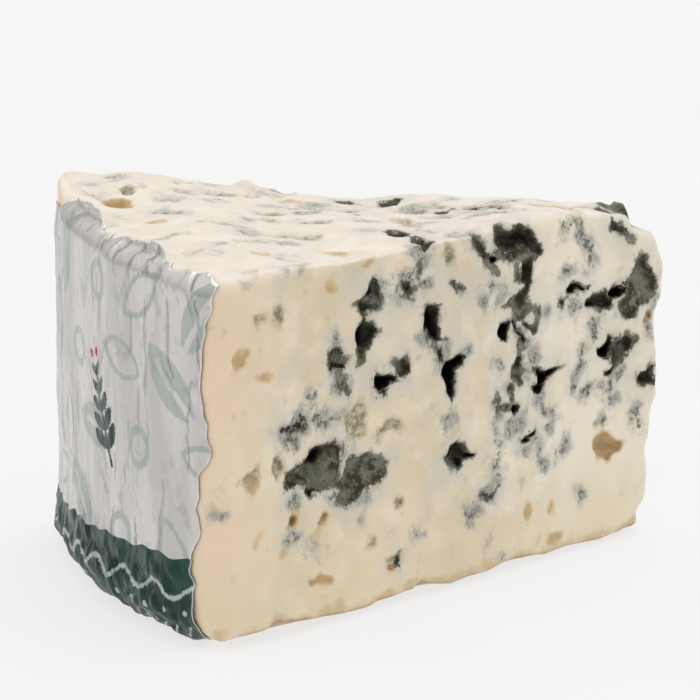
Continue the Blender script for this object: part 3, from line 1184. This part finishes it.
def velvet_colour(s, grain, dust):
    """Grey-green velvet mould with paler powder, dark in the deep pits and near black in the holes."""
    velvet = s.tones(s.noise(3, 2), 0.42, 0.6, (70, 65, 44), (138, 138, 120))
    velvet = s.blend(s.ramp(grain, 0.5, 0.7, 0, 0.55), velvet, srgb(166, 168, 154))
    velvet = s.blend(s.ramp(dust, 0.46, 0.68, 0, 0.5), velvet, srgb(62, 59, 42))
    dark = s.ramp(s.wobble(s.field("dark"), grain, 1.6), -0.4, 0.6, 0, 0.85)
    velvet = s.blend(dark, velvet, s.tones(grain, 0.4, 0.64, (44, 41, 28), (84, 82, 64)))
    black = s.ramp(s.wobble(s.field("black"), grain, 0.8), -0.2, 0.3, 0, 0.97)
    return s.blend(black, velvet, srgb(26, 24, 17))


def paste_material():
    s = Shader("cheese")
    grain = s.noise(1.0, 4, 0.6)
    dust = s.noise(0.4, 3, 0.65)
    patches = s.noise(3.4, 3)
    mould = s.field("mould")

    # Soft blue-grey halos round the mould, a wide faint one and a narrow dusty one
    wide = s.ramp(s.wobble(mould, patches, 7), -4.5, 0, 0, 0.55)
    colour = s.blend(wide, paste_colour(s), srgb(212, 207, 193))
    near = s.ramp(s.wobble(s.wobble(mould, patches, 3.4), grain, 1.6), -0.8, 0.5, 0, 0.65)
    colour = s.blend(near, colour, srgb(168, 168, 156))
    strength = s.ramp(s.normal_up(), 0.4, 0.8, 1, 0.55)
    colour, grains = speckled(s, tinted(s, colour, grain, strength), grain, dust, strength)

    lined = s.ramp(s.wobble(s.wobble(mould, grain, 2.2), dust, 1.0), -0.3, 0.3)
    colour = s.blend(lined, colour, velvet_colour(s, grain, dust))

    covered = s.math("MAXIMUM", lined, s.times(grains, 0.7))
    s.set(Base_Color=colour, Roughness=s.ramp(covered, 0, 1, 0.42, 0.9))
    s.set(Subsurface_Weight=s.ramp(covered, 0, 1, 0.35, 0.02))
    s.set(Subsurface_Radius=(1.0, 0.66, 0.42), Subsurface_Scale=1.3 * MM)
    fine = s.bump(s.noise(0.8, 4, 0.6), 0.09)
    s.set(Normal=s.bump(s.times(dust, covered), 0.3, fine))
    return s.material


def foil_material():
    s = Shader("foil")
    dust = s.noise(0.5, 3)
    patches = s.noise(6, 3)
    streaks = s.noise(5, 3, 0.6, stretch=(1, 1, 0.22))
    bare = s.tones(streaks, 0.35, 0.65, (212, 208, 205), (197, 194, 191))
    worn = s.times(s.math("SUBTRACT", dust, 0.5), 0.7)
    pale = s.ramp(s.math("ADD", s.field("pale"), worn), -0.1, 0.15, 0, 0.8)
    colour = s.blend(pale, bare, srgb(164, 174, 168))
    colour = s.blend(s.ramp(s.math("ADD", s.field("sprig"), worn), -0.08, 0.1), colour, srgb(44, 66, 60))
    colour = s.blend(s.ramp(s.field("berries"), -0.06, 0.06), colour, srgb(176, 52, 58))
    marks = s.ramp(s.math("ADD", s.field("marks"), worn), -0.1, 0.12, 0, 0.85)
    band = s.tones(patches, 0.4, 0.6, (36, 60, 54), (50, 76, 69))
    band = s.blend(marks, band, srgb(190, 198, 192))
    colour = s.blend(s.ramp(s.field("band"), -0.08, 0.08), colour, band)
    torn = s.ramp(s.field("to_edge"), 0.35, 0.05, 0, 0.6)
    colour = s.blend(torn, colour, srgb(244, 243, 241))
    s.set(Base_Color=colour, Metallic=0.8, Roughness=s.ramp(streaks, 0.3, 0.7, 0.24, 0.36))
    crumple = s.bump(s.creased(3, (1, 1, 0.5)), 0.07, s.bump(s.creased(9, (1, 1, 0.4)), 0.4))
    s.set(Normal=s.bump(s.noise(0.8, 3, 0.6, stretch=(1, 1, 0.5)), 0.04, crumple))
    return s.material


def aim_camera():
    scene = bpy.context.scene
    camera = bpy.data.cameras.new("camera")
    camera.sensor_width = SENSOR
    camera.lens = FOCAL_PIXELS * SENSOR / FRAME_PIXELS
    viewer = bpy.data.objects.new("camera", camera)
    viewer.location = [v * MM for v in CAMERA_AT]
    viewer.rotation_euler = (math.radians(90 - CAMERA_PITCH), 0, math.radians(-CAMERA_TURN))
    scene.collection.objects.link(viewer)
    scene.camera = viewer


def studio_light():
    scene = bpy.context.scene
    world = bpy.data.worlds.new("studio")
    world.use_nodes = True
    tree = world.node_tree
    direction = tree.nodes.new("ShaderNodeTexCoord").outputs["Generated"]
    upward = tree.nodes.new("ShaderNodeSeparateXYZ")
    tree.links.new(direction, upward.inputs[0])
    sky = tree.nodes.new("ShaderNodeMapRange")
    sky.interpolation_type = "SMOOTHSTEP"
    for name, value in SKY.items():
        sky.inputs[name].default_value = value
    tree.links.new(upward.outputs[2], sky.inputs["Value"])
    tree.links.new(sky.outputs[0], tree.nodes["Background"].inputs["Strength"])
    tree.nodes["Background"].inputs["Color"].default_value = (1, 1, 1, 1)
    scene.world = world

    sun = bpy.data.lights.new("key", "SUN")
    sun.energy = SUN_STRENGTH
    sun.angle = math.radians(SUN_WIDTH)
    key = bpy.data.objects.new("key", sun)
    key.rotation_euler = (*np.radians(SUN_TURN), 0)
    scene.collection.objects.link(key)
    scene.view_settings.view_transform = "Standard"
    scene.cycles.use_denoising = True


def floor():
    mesh = bpy.data.meshes.new("floor")
    corners = [(FLOOR_HALF * x, FLOOR_HALF * y, 0) for x, y in ((-1, -1), (1, -1), (1, 1), (-1, 1))]
    mesh.from_pydata(corners, [], [(0, 1, 2, 3)])
    s = Shader("floor")
    tone = s.ramp(s.noise(40, 2), 0.3, 0.7, FLOOR_SHADE - 0.004, FLOOR_SHADE + 0.004)
    s.set(Base_Color=s.blend(tone, (0, 0, 0, 1), (1, 1, 1, 1)), Roughness=1.0, Specular_IOR_Level=0.0)
    s.set(Emission_Color=(1, 1, 1, 1), Emission_Strength=FLOOR_GLOW)
    mesh.materials.append(s.material)
    ground = bpy.data.objects.new("floor", mesh)
    bpy.context.scene.collection.objects.link(ground)


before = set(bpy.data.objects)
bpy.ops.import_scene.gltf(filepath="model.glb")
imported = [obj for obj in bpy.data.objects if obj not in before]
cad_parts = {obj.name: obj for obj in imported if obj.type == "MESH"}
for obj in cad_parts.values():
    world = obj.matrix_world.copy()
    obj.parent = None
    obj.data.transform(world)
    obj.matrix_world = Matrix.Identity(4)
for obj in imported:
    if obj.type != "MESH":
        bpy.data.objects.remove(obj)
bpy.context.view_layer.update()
aim_camera()
studio_light()
floor()
paste = cheese_paste()
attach(paste, "root")
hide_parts("cheese")
wrap = foil_wrap()
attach(wrap, "root")
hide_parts("foil")
